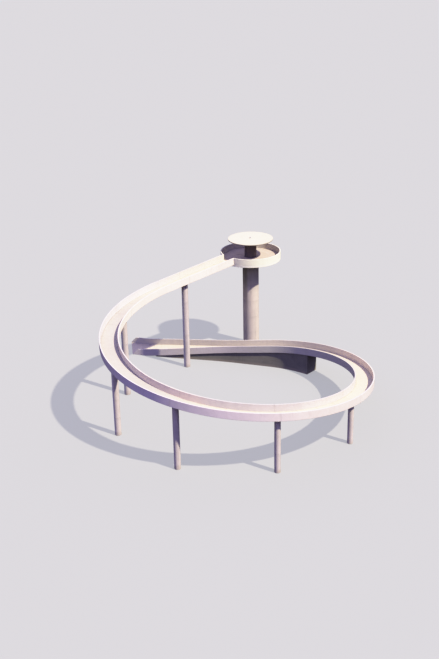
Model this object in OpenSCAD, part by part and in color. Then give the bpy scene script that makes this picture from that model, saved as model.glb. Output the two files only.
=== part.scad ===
// Observation tower with a round platform and a looping access ramp,
// modelled at half of full size. Every number here is a model dimension
// in millimetres. The origin is the foot of the main column, on the
// ground, and the middle of the loop lies towards -Y.

/* [Tower] */
// Height of the platform floor above the ground
deck_h = 6858; // [5600:2:7400]
// Radius of the round platform
platform_r = 2134; // [1900:1:2400]
// Thickness of the platform floor slab
platform_t = 160; // [120:5:260]
// Diameter of the main column below the platform
main_column_d = 1150; // [900:5:1400]
// Diameter of the column between platform and canopy
canopy_column_d = 850; // [600:5:950]
// Radius of the canopy disc
canopy_r = 1595; // [1200:5:2000]
// Thickness of the canopy disc at its rim
canopy_t = 80; // [60:5:160]
// Height of the canopy's upper face above the ground
canopy_top = 8208; // [8000:2:8600]

/* [Ramp] */
// Overall width of the ramp over both parapets
ramp_w = 1220; // [1000:10:1600]
// Thickness of the ramp floor slab
slab_t = 65; // [50:5:120]
// Height of the parapets above the floor
parapet_h = 435; // [350:5:600]
// Thickness of the parapets
parapet_t = 75; // [50:5:110]
// Fall of the ramp floor, in parts of its length
grade = 0.12; // [0.118:0.0005:0.1205]
// Length of the upper straight, from the tower's axis
straight_top = 7720; // [7000:10:8500]
// Radius of the loop along the middle of the ramp
loop_r = 7915; // [7400:5:8400]
// Angle that the ramp turns through in the loop
loop_sweep = 303.8; // [301:0.1:307]
// Length of the lower straight, to the end of the ramp
straight_low = 10565; // [10250:5:10850]

/* [Supports] */
// Distance between the first five ramp supports, along the ramp
bay = 5885; // [5800:1:5950]
// Distance between the lower ramp supports, down to the abutment
low_bay = 5725; // [5650:1:5800]
// Length of the lowest bay, which lies on the abutment
foot_bay = 5425; // [5200:5:5700]
// How far the abutment's face stands out past the joint above it
abutment_lip = 90; // [40:5:200]
// Diameter of a ramp column before the growth with its height
column_base = 280; // [200:5:350]
// How much thicker a ramp column is for each part of its height
column_growth = 0.025; // [0:0.001:0.05]

/* [Foot of the ramp] */
// How far each wall moves out at the ramp's foot
foot_flare = 440; // [0:10:600]
// How far each wall runs on past the end of the ramp floor
wall_run_on = 0; // [0:10:200]
// How oblique the end of the ramp is, along it for each part across it
end_skew = 0.45; // [0:0.01:0.6]
// Height of the sill where the ramp floor meets the ground
sill = 10; // [5:1:20]

/* [Hidden] */
concrete = [0.90, 0.88, 0.83];
shade_side = [0.80, 0.79, 0.80];

// Directions and lengths along the middle line of the ramp, where s is
// the distance from the tower's axis, going down.
a0 = 180 + atan(straight_top / loop_r);
loop_d = sqrt(straight_top * straight_top + loop_r * loop_r);
s_loop_end = straight_top + loop_r * loop_sweep * PI / 180;
s_end = s_loop_end + straight_low;
s_toe = platform_r + (deck_h - sill) / grade;
step = loop_r * 1.5 * PI / 180;

// Support k stands here; the eighth is the face of the abutment, and
// the ninth is where the foot of the ramp starts to widen
function support(k) = k <= 5 ? k * bay : 5 * bay + min(k - 5, 3) * low_bay + (k > 8 ? foot_bay : 0);
s_flare = support(9);

function heading(s) = s < straight_top ? a0
    : s < s_loop_end ? a0 + (s - straight_top) / loop_r * 180 / PI
    : a0 + loop_sweep;
function loop_point(a) = [loop_r * sin(a), -loop_d - loop_r * cos(a)];
function mid(s) = s < straight_top ? [s * cos(a0), s * sin(a0)]
    : s < s_loop_end ? loop_point(heading(s))
    : loop_point(a0 + loop_sweep) + (s - s_loop_end) * [cos(a0 + loop_sweep), sin(a0 + loop_sweep)];
// a point beside the middle line, positive towards the inside of the loop
function at(s, off) = mid(s) + off * [-sin(heading(s)), cos(heading(s))];
// height of the floor
function floor_z(s) = max(sill, deck_h - grade * max(0, s - platform_r));
// grows smoothly from 0 at the start of the solid foot to 1 at its toe
function ease(s) = let (t = max(0, min(1, (s - s_flare) / (s_toe - s_flare)))) t * t * (3 - 2 * t);
function side_in(s) = ramp_w / 2 + foot_flare * ease(s);
function side_out(s) = -ramp_w / 2 - foot_flare * ease(s);
// the stations of the foot turn oblique towards its end
function slanted(s, off) = s - end_skew * ease(s) * off;
// stations between two places on the middle line
function between(a, b) = concat([a],
    platform_r > a + 20 && platform_r < b - 20 ? [platform_r] : [],
    [for (i = [0 : ceil((s_loop_end - straight_top) / step)])
        let (s = min(straight_top + i * step, s_loop_end))
        if (s > a + 20 && s < b - 20) s],
    [b]);
// stations of the solid foot
function foot_stations(b) = concat([for (i = [0 : 17]) s_flare + (s_toe - s_flare) * i / 18], [s_toe, s_end], b > s_end ? [b] : []);

// A strip that follows the ramp between two side lines and two heights
module strip(ss, a, b, lo, hi) {
    n = len(ss);
    pts = [for (s = ss) let (sa = slanted(s, a(s)), sb = slanted(s, b(s))) each [
        concat(at(sa, a(s)), lo(sa)), concat(at(sb, b(s)), lo(sb)),
        concat(at(sb, b(s)), hi(sb)), concat(at(sa, a(s)), hi(sa))]];
    faces = concat(
        [[0, 1, 2], [0, 2, 3]],
        [for (i = [0 : n - 2], k = [0 : 3])
            let (p = 4 * i + k, q = 4 * i + (k + 1) % 4, r = q + 4, t = p + 4)
            each [[p, t, q], [q, t, r]]],
        [[4 * n - 4, 4 * n - 2, 4 * n - 3], [4 * n - 4, 4 * n - 1, 4 * n - 2]]);
    polyhedron(pts, faces, convexity = 6);
}

module floor_strip(a, b)
    strip(between(a, b),
        function(s) side_out(s) + parapet_t, function(s) side_in(s) - parapet_t,
        function(s) floor_z(s) - slab_t, function(s) floor_z(s));

module outer_strip(a, b)
    strip(between(a, b),
        function(s) side_out(s), function(s) side_out(s) + parapet_t,
        function(s) floor_z(s) - slab_t, function(s) floor_z(s) + parapet_h);

module inner_strip(a, b)
    strip(between(a, b),
        function(s) side_in(s) - parapet_t, function(s) side_in(s),
        function(s) floor_z(s) - slab_t, function(s) floor_z(s) + parapet_h);

module platform_cut()
    translate([0, 0, deck_h - 1000]) cylinder(h = 3000, r = platform_r, $fn = 180);

function bay_start(k) = k == 0 ? platform_r - 300 : support(k);

module ramp_floor(k)
    color(concrete)
    if (k == 0) difference() { floor_strip(bay_start(0), bay); platform_cut(); }
    else floor_strip(support(k), support(k + 1));

module outer_parapet(k)
    color(shade_side)
    if (k == 0) difference() { outer_strip(bay_start(0), bay); platform_cut(); }
    else outer_strip(support(k), support(k + 1));

module inner_parapet(k)
    color(shade_side)
    if (k == 0) difference() { inner_strip(bay_start(0), bay); platform_cut(); }
    else inner_strip(support(k), support(k + 1));

// A round column, its head cut to the slope of the floor that it carries
module ramp_column(k) {
    s = support(k);
    d = column_base + column_growth * floor_z(s);
    near = [for (t = concat(between(s - bay, s), between(s, s + bay))) if (abs(t - s) < bay / 5 || t == s - bay || t == s + bay) t];
    below = [for (i = [0 : len(near) - 1]) if (i == 0 || near[i] > near[i - 1] + 1) near[i]];
    color(concrete)
    difference() {
        translate([mid(s)[0], mid(s)[1], 0]) cylinder(h = floor_z(s), d = d, $fn = 96);
        strip(below,
            function(s) side_out(s) + parapet_t, function(s) side_in(s) - parapet_t,
            function(s) floor_z(s) - slab_t, function(s) floor_z(s) + 1000);
    }
}

module main_column()
    color(concrete)
    cylinder(h = deck_h - platform_t, d = main_column_d, $fn = 144);

module platform_floor()
    color(concrete)
    translate([0, 0, deck_h - platform_t])
    difference() {
        cylinder(h = platform_t, r = platform_r, $fn = 180);
        translate([0, 0, platform_t - 20]) cylinder(h = 40, d = canopy_column_d, $fn = 144);
    }

// Half of the round parapet, open where the ramp comes in
module platform_parapet(side)
    color(shade_side)
    difference() {
        translate([0, 0, deck_h])
        rotate_extrude($fn = 180)
            translate([platform_r - parapet_t, 0]) square([parapet_t, parapet_h]);
        // the opening, as wide as the ramp's floor
        rotate([0, 0, a0]) translate([0, -ramp_w / 2 + parapet_t, deck_h - 100])
            cube([2 * platform_r, ramp_w - 2 * parapet_t, parapet_h + 200]);
        // the other half
        rotate([0, 0, a0]) translate([-2 * platform_r, side > 0 ? -4 * platform_r : 0, deck_h - 100])
            cube([4 * platform_r, 4 * platform_r, parapet_h + 200]);
    }

module canopy_column()
    color(concrete)
    translate([0, 0, deck_h - 20])
    cylinder(h = canopy_top - canopy_t - deck_h + 20, d = canopy_column_d, $fn = 144);

module canopy_disc()
    color(concrete)
    translate([0, 0, canopy_top - canopy_t])
    cylinder(h = canopy_t, r = canopy_r, $fn = 180);

module canopy_vent()
    color("dimgray")
    translate([0, 0, canopy_top])
    rotate_extrude($fn = 48)
        polygon([[0, 0], [60, 0], [60, 12], [35, 12], [35, 70], [65, 70], [65, 82], [0, 100]]);

// The solid abutment under the lowest bay, set back under its parapets
module abutment()
    color([0.52, 0.51, 0.51])
    strip(concat([support(8) - abutment_lip], between(support(8), s_flare)),
        function(s) side_out(s) + parapet_t, function(s) side_in(s) - parapet_t,
        function(s) 0, function(s) floor_z(s) - slab_t);

// The solid foot of the ramp, set back under its two walls
module approach_floor()
    color(concrete)
    strip(foot_stations(s_end),
        function(s) side_out(s) + parapet_t, function(s) side_in(s) - parapet_t,
        function(s) 0, function(s) floor_z(s));

// A wall that reaches down to the ground at the toe, its end cut to a slope
module approach_wall(a, b, off) {
    last = s_end + wall_run_on;
    tip = at(slanted(last, off), off);
    difference() {
        strip(foot_stations(last),
            a, b, function(s) max(0, floor_z(s) - slab_t), function(s) floor_z(s) + parapet_h);
        translate([tip[0], tip[1], 40])
        rotate([0, 0, heading(s_end)])
        rotate([0, -45, 0])
        translate([0, -1500, 0]) cube([1500, 3000, 1500]);
    }
}

module approach_wall_far()
    color(shade_side)
    approach_wall(function(s) side_out(s), function(s) side_out(s) + parapet_t, -ramp_w / 2 - foot_flare);

module approach_wall_near()
    color(shade_side)
    approach_wall(function(s) side_in(s) - parapet_t, function(s) side_in(s), ramp_w / 2 + foot_flare);

main_column();
platform_floor();
platform_parapet(1);  // platform_parapet_east
platform_parapet(-1);  // platform_parapet_west
canopy_column();
canopy_disc();
canopy_vent();
ramp_column(1);  // ramp_column_1
ramp_column(2);  // ramp_column_2
ramp_column(3);  // ramp_column_3
ramp_column(4);  // ramp_column_4
ramp_column(5);  // ramp_column_5
ramp_column(6);  // ramp_column_6
ramp_column(7);  // ramp_column_7
abutment();
ramp_floor(0);  // ramp_floor_0
ramp_floor(1);  // ramp_floor_1
ramp_floor(2);  // ramp_floor_2
ramp_floor(3);  // ramp_floor_3
ramp_floor(4);  // ramp_floor_4
ramp_floor(5);  // ramp_floor_5
ramp_floor(6);  // ramp_floor_6
ramp_floor(7);  // ramp_floor_7
ramp_floor(8);  // ramp_floor_8
outer_parapet(0);  // outer_parapet_0
outer_parapet(1);  // outer_parapet_1
outer_parapet(2);  // outer_parapet_2
outer_parapet(3);  // outer_parapet_3
outer_parapet(4);  // outer_parapet_4
outer_parapet(5);  // outer_parapet_5
outer_parapet(6);  // outer_parapet_6
outer_parapet(7);  // outer_parapet_7
outer_parapet(8);  // outer_parapet_8
inner_parapet(0);  // inner_parapet_0
inner_parapet(1);  // inner_parapet_1
inner_parapet(2);  // inner_parapet_2
inner_parapet(3);  // inner_parapet_3
inner_parapet(4);  // inner_parapet_4
inner_parapet(5);  // inner_parapet_5
inner_parapet(6);  // inner_parapet_6
inner_parapet(7);  // inner_parapet_7
inner_parapet(8);  // inner_parapet_8
approach_floor();
approach_wall_far();
approach_wall_near();
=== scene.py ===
import math

import bpy
import numpy as np
from mathutils import Matrix, Vector


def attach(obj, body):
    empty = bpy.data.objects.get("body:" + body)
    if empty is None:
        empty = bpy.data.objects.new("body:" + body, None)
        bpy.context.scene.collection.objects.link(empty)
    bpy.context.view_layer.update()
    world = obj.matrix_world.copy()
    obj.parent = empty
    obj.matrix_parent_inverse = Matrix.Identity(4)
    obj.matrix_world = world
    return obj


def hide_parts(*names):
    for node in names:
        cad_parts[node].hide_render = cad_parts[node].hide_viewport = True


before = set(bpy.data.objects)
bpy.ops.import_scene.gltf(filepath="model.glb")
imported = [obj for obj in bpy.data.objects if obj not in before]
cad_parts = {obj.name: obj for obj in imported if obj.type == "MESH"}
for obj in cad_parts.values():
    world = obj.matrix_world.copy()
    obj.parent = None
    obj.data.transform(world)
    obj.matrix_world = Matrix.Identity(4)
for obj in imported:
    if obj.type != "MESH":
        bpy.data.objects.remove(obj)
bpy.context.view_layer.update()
scene = bpy.context.scene

# ---------------------------------------------------------------- dimensions
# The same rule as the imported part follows, in metres.
WIDTH, WALL, SLAB, WALL_H = 1.220, 0.075, 0.065, 0.435
LOOP_R, STRAIGHT_TOP, STRAIGHT_LOW = 7.915, 7.720, 10.565
SWEEP = math.radians(303.8)
BAY, LOW_BAY, FOOT_BAY, DECK, GRADE = 5.885, 5.725, 5.425, 6.858, 0.12
PLAT_R, PLAT_T = 2.134, 0.160
COL_D, CANOPY_COL_D = 1.150, 0.850
CANOPY_R, CANOPY_T, CANOPY_TOP = 1.595, 0.080, 8.208
COL_BASE, COL_GROWTH = 0.280, 0.025
FOOT_FLARE, RUN_ON, END_SKEW, SILL, LIP = 0.440, 0.0, 0.45, 0.010, 0.090

A0 = math.pi + math.atan(STRAIGHT_TOP / LOOP_R)
LOOP_D = math.hypot(STRAIGHT_TOP, LOOP_R)
S_LOOP = STRAIGHT_TOP + LOOP_R * SWEEP
S_END = S_LOOP + STRAIGHT_LOW
S_TOE = PLAT_R + (DECK - SILL) / GRADE
SUPPORTS = [k * BAY if k <= 5 else 5 * BAY + min(k - 5, 3) * LOW_BAY + (FOOT_BAY if k > 8 else 0) for k in range(10)]
S_FLARE = SUPPORTS[9]
LIFT = 1.219          # height of one pour of a column


def heading(s):
    s = np.asarray(s, float)
    return A0 + np.clip((s - STRAIGHT_TOP) / LOOP_R, 0, SWEEP)


def mid(s):
    """Points on the middle line of the ramp, s metres down from the tower's axis."""
    s = np.asarray(s, float)
    a = heading(s)
    loop = np.stack([LOOP_R * np.sin(a), -LOOP_D - LOOP_R * np.cos(a)], -1)
    top = np.stack([s * math.cos(A0), s * math.sin(A0)], -1)
    over = np.maximum(s - S_LOOP, 0)[..., None]
    low = loop + over * np.stack([np.cos(a), np.sin(a)], -1)
    return np.where((s < STRAIGHT_TOP)[..., None], top, low)


def floor_z(s):
    s = np.asarray(s, float)
    return np.maximum(DECK - GRADE * np.maximum(s - PLAT_R, 0), SILL)


def ease(s):
    t = np.clip((np.asarray(s, float) - S_FLARE) / (S_TOE - S_FLARE), 0, 1)
    return t * t * (3 - 2 * t)


def side_in(s):
    return WIDTH / 2 + FOOT_FLARE * ease(s)


def side_out(s):
    return -WIDTH / 2 - FOOT_FLARE * ease(s)


def slanted(s, off):
    """The stations of the foot turn oblique towards its end."""
    return np.asarray(s, float) - END_SKEW * ease(s) * off


def beat(s):
    """Counts bays: a whole number at each support."""
    s = np.asarray(s, float)
    return np.where(s > S_FLARE, 9 + (s - S_FLARE) / BAY, np.interp(s, SUPPORTS, np.arange(10.0)))


def place(s, off, z):
    """World points beside the middle line; off is positive towards the inside of the loop."""
    s, off, z = np.broadcast_arrays(np.asarray(s, float), np.asarray(off, float), np.asarray(z, float))
    a = heading(s)
    m = mid(s)
    return np.stack([m[..., 0] - np.sin(a) * off, m[..., 1] + np.cos(a) * off, z], -1)


def wave(a, b, seed):
    """Slow hand-made unevenness, from -1 to 1, the same on every run."""
    k = seed * 1.7
    return (np.sin(a * 2.1 + k) * np.cos(b * 5.3 + 0.7 * k) * 0.45
            + np.sin(a * 4.7 - b * 3.1 + 2.3 * k) * 0.30
            + np.sin(a * 9.3 + b * 8.7 + 3.1 * k) * 0.25)


# ---------------------------------------------------------------- mesh helpers
def quarter(cx, cy, r, a, b, n=4):
    """Points of an arc in a profile, angles in degrees."""
    return [(cx + r * math.cos(math.radians(a + (b - a) * i / n)),
             cy + r * math.sin(math.radians(a + (b - a) * i / n))) for i in range(n + 1)]


def inset(points, by):
    """A closed profile (clockwise) moved inwards by so much, corner by corner."""
    p = np.asarray(points, float)
    d = np.roll(p, -1, 0) - p
    d /= np.maximum(np.hypot(*d.T), 1e-9)[:, None]
    n = np.stack([d[:, 1], -d[:, 0]], -1)          # right-hand side of each edge
    a, b = np.roll(n, 1, 0), n
    m = a + b
    m /= np.maximum((m * m).sum(1), 0.5)[:, None] / 2
    return p + m * by


def grid(name, P, path, wear, material, nodes, rows=2, closed=True, around=False, caps=True, side=None, sharp=30):
    """A closed skin over stations (first axis) and profile points (second axis)."""
    n, m = P.shape[:2]
    verts = P.reshape(-1, 3)
    faces, uvs = [], []
    step = np.linalg.norm(np.diff(P, axis=0), axis=2).mean(1)
    lens = np.concatenate([[0], np.cumsum(step)])
    if around:
        lens = np.append(lens, lens[-1] + np.linalg.norm(P[0] - P[-1], axis=1).mean())
    ring = np.linalg.norm(np.roll(P, -1, 1) - P, axis=2).mean(0)
    per = np.concatenate([[0], np.cumsum(ring)])
    total, girth = lens[-1], per[-1]
    last = n if around else n - 1
    cuts = [int(np.searchsorted(lens, total * r / rows)) for r in range(rows)] + [last]
    top = 0.955
    for r in range(rows):
        u0, u1 = lens[cuts[r]], lens[cuts[r + 1]]
        v0, v1 = top * r / rows + 0.004, top * (r + 1) / rows - 0.004
        for i in range(cuts[r], cuts[r + 1]):
            i2 = (i + 1) % n
            ua, ub = ((lens[k] - u0) / (u1 - u0) * 0.992 + 0.004 for k in (i, i + 1))
            for j in range(m if closed else m - 1):
                j2 = (j + 1) % m
                va, vb = (v0 + (v1 - v0) * per[k] / girth for k in (j, j + 1))
                faces.append((i * m + j, i * m + j2, i2 * m + j2, i2 * m + j))
                uvs += [(ua, va), (ua, vb), (ub, vb), (ub, va)]
    if caps and not around:
        for k, order in ((0, list(range(m))[::-1]), (n - 1, list(range(m)))):
            faces.append(tuple(k * m + j for j in order))
            c = P[k].mean(0)
            far = max(np.abs(P[k] - c).max(), 1e-6)
            ex = P[k, 0] - c
            ex /= max(np.linalg.norm(ex), 1e-9)
            nrm = np.cross(P[k, m // 3] - c, P[k, 2 * m // 3] - c)
            ey = np.cross(nrm, ex)
            ey /= max(np.linalg.norm(ey), 1e-9)
            cu = 0.03 + (0.05 if k else 0)
            for j in order:
                q = P[k, j] - c
                uvs.append((cu + q @ ex / far * 0.018, 0.978 + q @ ey / far * 0.018))
    # outward faces: the volume of the closed skin has to come out positive
    tri = np.array([(f[0], f[k], f[k + 1]) for f in faces for k in range(1, len(f) - 1)])
    near = verts - verts.mean(0)
    vol = np.einsum("ij,ij->i", near[tri[:, 0]], np.cross(near[tri[:, 1]], near[tri[:, 2]])).sum()
    if vol < 0:
        new_uvs, at = [], 0
        for k, f in enumerate(faces):
            c = len(f)
            new_uvs += uvs[at:at + c][::-1]
            faces[k] = f[::-1]
            at += c
        uvs = new_uvs
    me = bpy.data.meshes.new(name)
    me.from_pydata(verts.tolist(), [], faces)
    layer = me.uv_layers.new(name="OFBake")
    layer.data.foreach_set("uv", np.asarray(uvs, np.float32).ravel())
    bays = None if around else beat(path.reshape(-1, 3)[:, 0])
    for key, values, kind in (("path", path, "FLOAT_VECTOR"), ("wear", wear, "FLOAT"), ("side", side, "FLOAT"), ("beat", bays, "FLOAT")):
        if values is None:
            continue
        at = me.attributes.new(key, kind, "POINT")
        at.data.foreach_set("vector" if kind == "FLOAT_VECTOR" else "value", np.asarray(values, np.float32).ravel())
    me.polygons.foreach_set("use_smooth", [True] * len(me.polygons))
    me.set_sharp_from_angle(angle=math.radians(sharp))
    me.materials.append(material)
    me.update()
    ob = bpy.data.objects.new(name, me)
    scene.collection.objects.link(ob)
    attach(ob, "root")
    if nodes:
        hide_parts(*nodes)
    return ob


# ---------------------------------------------------------------- node helpers
class Nodes:
    """Short names for the shader nodes used below."""

    def __init__(self, name):
        self.mat = bpy.data.materials.new(name)
        self.mat.use_nodes = True
        self.t = self.mat.node_tree
        self.t.nodes.clear()

    def new(self, kind, **inputs):
        n = self.t.nodes.new(kind)
        for k, v in inputs.items():
            setattr(n, k, v)
        return n

    def put(self, socket, value):
        if isinstance(value, bpy.types.NodeSocket):
            self.t.links.new(value, socket)
        elif value is not None:
            socket.default_value = value

    def math(self, op, a, b=None, c=None, clamp=False):
        n = self.new("ShaderNodeMath", operation=op, use_clamp=clamp)
        for s, v in zip(n.inputs, (a, b, c)):
            self.put(s, v)
        return n.outputs[0]

    def vec(self, x, y, z):
        n = self.new("ShaderNodeCombineXYZ")
        for s, v in zip(n.inputs, (x, y, z)):
            self.put(s, v)
        return n.outputs[0]

    def attr(self, name):
        return self.new("ShaderNodeAttribute", attribute_type="GEOMETRY", attribute_name=name)

    def split(self, vector):
        n = self.new("ShaderNodeSeparateXYZ")
        self.put(n.inputs[0], vector)
        return n.outputs

    def noise(self, vector, scale, detail=3.0, rough=0.55, distort=0.0):
        n = self.new("ShaderNodeTexNoise")
        self.put(n.inputs["Vector"], vector)
        n.inputs["Scale"].default_value = scale
        n.inputs["Detail"].default_value = detail
        n.inputs["Roughness"].default_value = rough
        n.inputs["Distortion"].default_value = distort
        return n.outputs[0]

    def cells(self, vector, scale, feature="F1"):
        n = self.new("ShaderNodeTexVoronoi", feature=feature)
        self.put(n.inputs["Vector"], vector)
        n.inputs["Scale"].default_value = scale
        return n.outputs[0]

    def white(self, value):
        n = self.new("ShaderNodeTexWhiteNoise", noise_dimensions="1D")
        self.put(n.inputs["W"], value)
        return n.outputs["Value"]

    def span(self, value, a, b, c=0.0, d=1.0, smooth=True):
        """Maps a..b to c..d, smoothly, and holds beyond."""
        n = self.new("ShaderNodeMapRange", interpolation_type="SMOOTHSTEP" if smooth else "LINEAR")
        for s, v in zip(n.inputs, (value, a, b, c, d)):
            self.put(s, v)
        return n.outputs[0]

    def mix(self, fac, a, b, blend="MIX"):
        n = self.new("ShaderNodeMix", data_type="RGBA", blend_type=blend)
        self.put(n.inputs[0], fac)
        for s, v in ((n.inputs[6], a), (n.inputs[7], b)):
            self.put(s, (*v, 1) if isinstance(v, tuple) and len(v) == 3 else v)
        return n.outputs[2]

    def bump(self, height, strength, distance, normal=None):
        n = self.new("ShaderNodeBump")
        n.inputs["Strength"].default_value = strength
        n.inputs["Distance"].default_value = distance
        self.put(n.inputs["Height"], height)
        if normal is not None:
            self.put(n.inputs["Normal"], normal)
        return n.outputs[0]

    def finish(self, colour, rough, normal, metallic=0.0, specular=0.35):
        b = self.new("ShaderNodeBsdfPrincipled")
        self.put(b.inputs["Base Color"], colour)
        self.put(b.inputs["Roughness"], rough)
        self.put(b.inputs["Normal"], normal)
        b.inputs["Metallic"].default_value = metallic
        b.inputs["Specular IOR Level"].default_value = specular
        out = self.new("ShaderNodeOutputMaterial")
        self.t.links.new(b.outputs[0], out.inputs[0])
        return self.mat


def concrete(name, light, dark, stain, mode):
    """Cast concrete. mode: wall (ramp parapets), ring (platform parapet), floor, column, disc."""
    m = Nodes(name)
    here = m.new("ShaderNodeTexCoord").outputs["Object"]
    path = m.attr("path").outputs["Vector"]
    wear = m.attr("wear").outputs["Fac"]
    s, across, h = m.split(path)
    # clouds of tone, from metres down to a hand's width
    big = m.noise(here, 0.55, 2.0, 0.5)
    middle = m.noise(here, 3.1, 4.0, 0.6, 0.4)
    small = m.noise(here, 17.0, 4.0, 0.6)
    grain = m.noise(here, 190.0, 2.0, 0.7)
    tone = m.math("ADD", m.math("MULTIPLY", big, 0.42), m.math("MULTIPLY", middle, 0.38))
    tone = m.math("ADD", tone, m.math("MULTIPLY", small, 0.20))
    col = m.mix(m.span(tone, 0.36, 0.64), dark, light)
    # fine sand and aggregate
    col = m.mix(m.span(grain, 0.35, 0.62), m.mix(0.88, (0.30, 0.29, 0.30), col), col)
    height = m.math("MULTIPLY", small, 0.5)
    pits = m.cells(here, 26.0)
    pit = m.math("MULTIPLY", m.span(pits, 0.045, 0.11, 1, 0), m.span(m.noise(here, 8.0, 2.0), 0.50, 0.60))
    fine = m.math("SUBTRACT", m.math("MULTIPLY", grain, 0.35), pit)
    rough = 0.82
    if mode in ("wall", "ring", "base"):
        # tone of each form panel
        bays = m.attr("beat").outputs["Fac"]
        panel = m.math("FLOOR", m.math("MULTIPLY", bays, 4.0))
        col = m.mix(m.math("MULTIPLY", m.white(panel), 0.06), col, m.mix(1.0, col, (0.86, 0.86, 0.88), "MULTIPLY"))
        if mode == "wall":
            # each face gets its own tone, partly weathering and partly painted light and shade: the sunlit face paler
            # up high (painted light), the loop-side face greyer lower down (grime with painted shade), the shaded front
            # face paler and bluer (painted light), the deck-side faces darker (painted shade)
            away = m.attr("side").outputs["Fac"]
            within = m.span(across, -0.1, 0.1)
            towards = m.math("SUBTRACT", 1.0, away)
            # painted light: the sunlit loop-side face of the upper bays made paler
            high = m.math("MULTIPLY", m.math("MULTIPLY", away, within), m.span(bays, 2.3, 2.9, 1, 0))
            # grime with painted shade: the loop-side face of the lower bays greyer and darker
            low = m.math("MULTIPLY", m.math("MULTIPLY", away, within), m.span(bays, 5.6, 7.0))
            low = m.math("MULTIPLY", low, m.span(bays, 8.6, 9.2, 1, 0.1))
            # painted light: the shaded outward face of the outer parapet painted paler and bluer, as if lit by the sky
            painted_sky_fill = m.math("MULTIPLY", m.math("SUBTRACT", away, m.math("MULTIPLY", away, within)), m.span(bays, 3.0, 3.6))
            # the deck-side face of the outer parapet warmer and less blue over bays 6.2 to 8, duller past bay 7.3
            far_face_warmer = m.math("MULTIPLY", m.math("MULTIPLY", towards, m.math("SUBTRACT", 1.0, within)), m.span(bays, 6.2, 6.9))
            dull = m.math("MULTIPLY", m.math("MULTIPLY", towards, m.math("SUBTRACT", 1.0, within)), m.span(bays, 7.3, 8.0))
            far_face_warmer = m.math("MULTIPLY", far_face_warmer, m.span(bays, 7.3, 8.0, 1, 0))
            col = m.mix(high, col, m.mix(1.0, col, SUNLIT_PAINTED_PALE, "MULTIPLY"))
            col = m.mix(low, col, m.mix(1.0, col, SHADE_AND_GRIME_GREY, "MULTIPLY"))
            col = m.mix(painted_sky_fill, col, m.mix(1.0, col, (1.11, 1.07, 1.16), "MULTIPLY"))
            # painted light: the blue of that painted sky fill fades out past bay 4.6
            painted_sky_fill_fade = m.math("MULTIPLY", painted_sky_fill, m.span(bays, 4.6, 5.4))
            col = m.mix(painted_sky_fill_fade, col, m.mix(1.0, col, (0.97, 0.99, 0.90), "MULTIPLY"))
            col = m.mix(far_face_warmer, col, m.mix(1.0, col, WARMER_TINT, "MULTIPLY"))
            col = m.mix(dull, col, m.mix(1.0, col, (0.84, 0.86, 0.76), "MULTIPLY"))
            # painted shade: the deck-side face of the inner parapet darker
            inside = m.math("MULTIPLY", towards, within)
            col = m.mix(inside, col, m.mix(1.0, col, DECK_SIDE_PAINTED_SHADE, "MULTIPLY"))
            # the deck-side face of the inner parapet paler over bays 3.2 to 4.35, darker and bluer over bays 4.15 to
            # 5.8; the deck-side face of the outer parapet yellower over the first bay
            deck_face_paler = m.math("MULTIPLY", m.math("MULTIPLY", inside, m.span(bays, 3.2, 3.6)), m.span(bays, 4.10, 4.35, 1, 0))
            deck_face_bluer = m.math("MULTIPLY", m.math("MULTIPLY", inside, m.span(bays, 4.15, 4.45)), m.span(bays, 5.2, 5.8, 1, 0))
            upper = m.math("MULTIPLY", m.math("SUBTRACT", towards, inside), m.span(bays, 0.9, 1.5, 1, 0))
            col = m.mix(deck_face_paler, col, m.mix(1.0, col, (1.14, 1.10, 1.06), "MULTIPLY"))
            col = m.mix(deck_face_bluer, col, m.mix(1.0, col, (0.83, 0.87, 0.93), "MULTIPLY"))
            col = m.mix(upper, col, m.mix(1.0, col, (1.0, 0.98, 0.86), "MULTIPLY"))
        if mode == "ring":
            # painted shade: the deck-side face of the platform parapet darker
            painted_shade_inner_face = m.math("SUBTRACT", 1.0, m.attr("side").outputs["Fac"])
            col = m.mix(painted_shade_inner_face, col, m.mix(1.0, col, (0.66, 0.62, 0.70), "MULTIPLY"))
        # rain streaks that run down from the top
        down = m.math("SUBTRACT", WALL_H, h)
        lanes = m.noise(m.vec(m.math("MULTIPLY", s, 9.0), m.math("MULTIPLY", across, 6.0), m.math("MULTIPLY", h, 0.8)), 1.0, 4.0, 0.65)
        few = m.noise(m.vec(m.math("MULTIPLY", s, 1.1), across, 0.0), 1.0, 2.0)
        streak = m.math("MULTIPLY", m.span(lanes, 0.50, 0.70), m.span(few, 0.35, 0.65))
        streak = m.math("MULTIPLY", streak, m.span(down, 0.0, 0.42, 1.0, 0.25))
        col = m.mix(m.math("MULTIPLY", streak, 0.36), col, stain)
        # grime along the top and at the drip edge
        edge = m.math("MULTIPLY", m.span(down, 0.012, 0.05, 1, 0), m.span(small, 0.42, 0.62))
        foot = m.math("MULTIPLY", m.span(h, -0.045, 0.015, 1, 0), m.span(middle, 0.40, 0.62))
        col = m.mix(m.math("MULTIPLY", edge, 0.24), col, stain)
        col = m.mix(m.math("MULTIPLY", foot, 0.26), col, stain)
        boards = m.noise(m.vec(m.math("MULTIPLY", s, 1.4), m.math("MULTIPLY", across, 3.0), m.math("MULTIPLY", h, 30.0)), 1.0, 2.0)
        height = m.math("ADD", height, m.math("MULTIPLY", boards, 0.4))
        # rain marks spread from each joint between bays
        t = m.math("ABSOLUTE", m.math("SUBTRACT", m.math("FRACT", m.math("ADD", bays, 0.5)), 0.5))
        at_joint = m.math("MULTIPLY", m.span(t, 0.001, 0.018, 1, 0), m.span(lanes, 0.35, 0.6))
        if mode == "wall":
            col = m.mix(m.math("MULTIPLY", at_joint, 0.08), col, stain)
        if mode == "base":
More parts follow.
